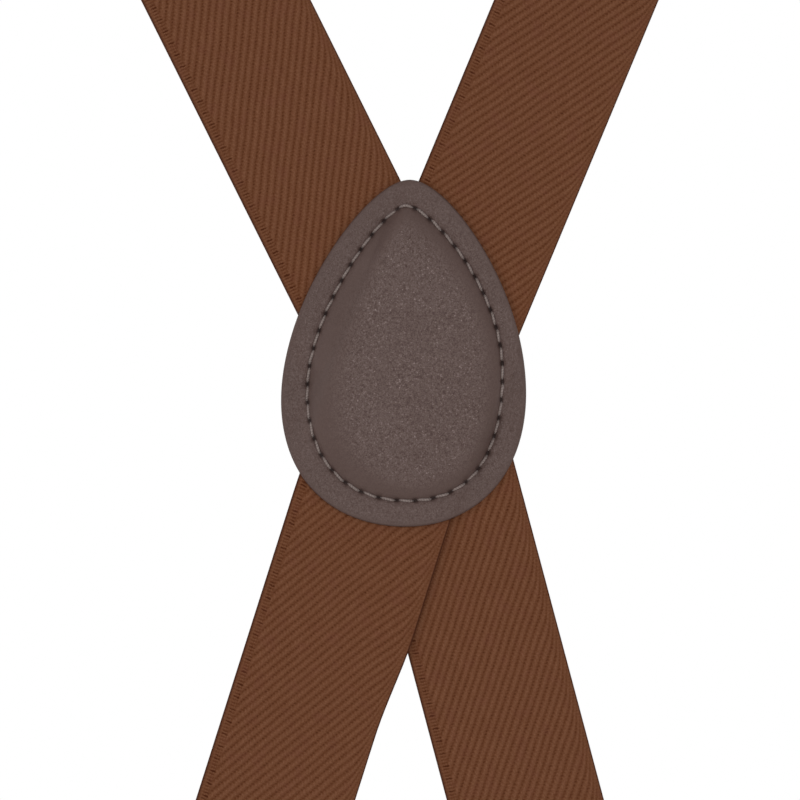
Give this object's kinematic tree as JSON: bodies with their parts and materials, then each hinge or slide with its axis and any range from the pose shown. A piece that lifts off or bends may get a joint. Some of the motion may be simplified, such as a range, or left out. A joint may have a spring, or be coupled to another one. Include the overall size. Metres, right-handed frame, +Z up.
{
  "type": "suspenders",
  "caption": "Crossed-back suspenders: two elastic webbing straps sewn under a teardrop leather patch, with lever clips and cam sliders.",
  "frame": {"origin": "midpoint of the line between the tops of the two shoulder arches, on the middle of the body's depth", "axes": "+Z up the wearer, +Y to the wearer's front, +X to the wearer's right; the crossing lies at the back, on -Y"},
  "size_m": [0.3395, 0.2234, 0.5244],
  "materials": {
    "webbing": "matt brown elastic webbing with a diagonal rib",
    "leather": "satin taupe grained leather",
    "padding": "matt felt",
    "nickel": "satin nickel plate",
    "steel": "bright steel",
    "nylon": "matt dark nylon"
  },
  "bodies": {
    "root": {"left_strap_back": "webbing", "right_strap_back": "webbing", "patch_outer_leather": "leather", "patch_padding": "padding", "patch_lining_leather": "leather"},
    "left_tail": {"left_strap_tail": "webbing"},
    "left_front": {"left_strap_front": "webbing", "left_strap_return": "webbing"},
    "right_tail": {"right_strap_tail": "webbing"},
    "right_front": {"right_strap_front": "webbing", "right_strap_return": "webbing"},
    "back_left_clip": {"back_left_clip_frame": "nickel", "back_left_clip_pad": "nylon", "back_left_clip_pin": "steel"},
    "back_left_clip_lever_body": {"back_left_clip_lever": "nickel", "back_left_clip_jaw": "nylon"},
    "back_right_clip": {"back_right_clip_frame": "nickel", "back_right_clip_pad": "nylon", "back_right_clip_pin": "steel"},
    "back_right_clip_lever_body": {"back_right_clip_lever": "nickel", "back_right_clip_jaw": "nylon"},
    "front_left_clip": {"front_left_clip_frame": "nickel", "front_left_clip_pad": "nylon", "front_left_clip_pin": "steel"},
    "front_left_clip_lever_body": {"front_left_clip_lever": "nickel", "front_left_clip_jaw": "nylon"},
    "front_right_clip": {"front_right_clip_frame": "nickel", "front_right_clip_pad": "nylon", "front_right_clip_pin": "steel"},
    "front_right_clip_lever_body": {"front_right_clip_lever": "nickel", "front_right_clip_jaw": "nylon"},
    "left_slider": {"left_slider_frame": "nickel", "left_slider_pin": "steel", "left_slider_tab": "webbing"},
    "left_slider_lever_body": {"left_slider_lever": "nickel"},
    "right_slider": {"right_slider_frame": "nickel", "right_slider_pin": "steel", "right_slider_tab": "webbing"},
    "right_slider_lever_body": {"right_slider_lever": "nickel"}
  },
  "joints": [
    {"name": "left_tail_flex", "type": "hinge", "parent": "root", "child": "left_tail", "pos_m": [0.03173, -0.1, -0.34147], "axis": [-0.9664, 0, -0.2571], "range_deg": [-15, 60]},
    {"name": "right_tail_flex", "type": "hinge", "parent": "root", "child": "right_tail", "pos_m": [-0.01306, -0.1019, -0.34], "axis": [-0.9532, 0, 0.3024], "range_deg": [-15, 60]},
    {"name": "left_front_flex", "type": "hinge", "parent": "root", "child": "left_front", "pos_m": [-0.14828, 0.1, -0.11029], "axis": [1, 0, 0], "range_deg": [-15, 75]},
    {"name": "right_front_flex", "type": "hinge", "parent": "root", "child": "right_front", "pos_m": [0.14682, 0.1019, -0.10801], "axis": [1, 0, 0], "range_deg": [-15, 75]},
    {"name": "back_left_clip_swivel", "type": "hinge", "parent": "right_tail", "child": "back_left_clip", "pos_m": [-0.05448, -0.09955, -0.47058], "axis": [-0.9532, 0, 0.3024], "range_deg": [-60, 75]},
    {"name": "back_left_clip_lever_open", "type": "hinge", "parent": "back_left_clip", "child": "back_left_clip_lever_body", "pos_m": [-0.06446, -0.10715, -0.50204], "axis": [0.9532, 0, -0.3024], "range_deg": [0, 95]},
    {"name": "back_right_clip_swivel", "type": "hinge", "parent": "left_tail", "child": "back_right_clip", "pos_m": [0.06696, -0.09765, -0.47387], "axis": [-0.9664, 0, -0.2571], "range_deg": [-60, 75]},
    {"name": "back_right_clip_lever_open", "type": "hinge", "parent": "back_right_clip", "child": "back_right_clip_lever_body", "pos_m": [0.07545, -0.10525, -0.50576], "axis": [0.9664, 0, 0.2571], "range_deg": [0, 95]},
    {"name": "front_left_clip_swivel", "type": "hinge", "parent": "left_front", "child": "front_left_clip", "pos_m": [-0.14828, 0.09765, -0.475], "axis": [1, 0, 0], "range_deg": [-60, 75]},
    {"name": "front_left_clip_lever_open", "type": "hinge", "parent": "front_left_clip", "child": "front_left_clip_lever_body", "pos_m": [-0.14828, 0.10525, -0.508], "axis": [-1, 0, 0], "range_deg": [0, 95]},
    {"name": "front_right_clip_swivel", "type": "hinge", "parent": "right_front", "child": "front_right_clip", "pos_m": [0.14682, 0.09955, -0.475], "axis": [1, 0, 0], "range_deg": [-60, 75]},
    {"name": "front_right_clip_lever_open", "type": "hinge", "parent": "front_right_clip", "child": "front_right_clip_lever_body", "pos_m": [0.14682, 0.10715, -0.508], "axis": [-1, 0, 0], "range_deg": [0, 95]},
    {"name": "left_slider_slide", "type": "slide", "parent": "left_front", "child": "left_slider", "axis": [0, 0, -1], "range_m": [0, 0.1], "deforming": ["left_strap_return"]},
    {"name": "left_slider_lever_open", "type": "hinge", "parent": "left_slider", "child": "left_slider_lever_body", "pos_m": [-0.14828, 0.1035, -0.295], "axis": [1, 0, 0], "range_deg": [0, 100]},
    {"name": "right_slider_slide", "type": "slide", "parent": "right_front", "child": "right_slider", "axis": [0, 0, -1], "range_m": [0, 0.1], "deforming": ["right_strap_return"]},
    {"name": "right_slider_lever_open", "type": "hinge", "parent": "right_slider", "child": "right_slider_lever_body", "pos_m": [0.14682, 0.1054, -0.295], "axis": [1, 0, 0], "range_deg": [0, 100]}
  ]
}
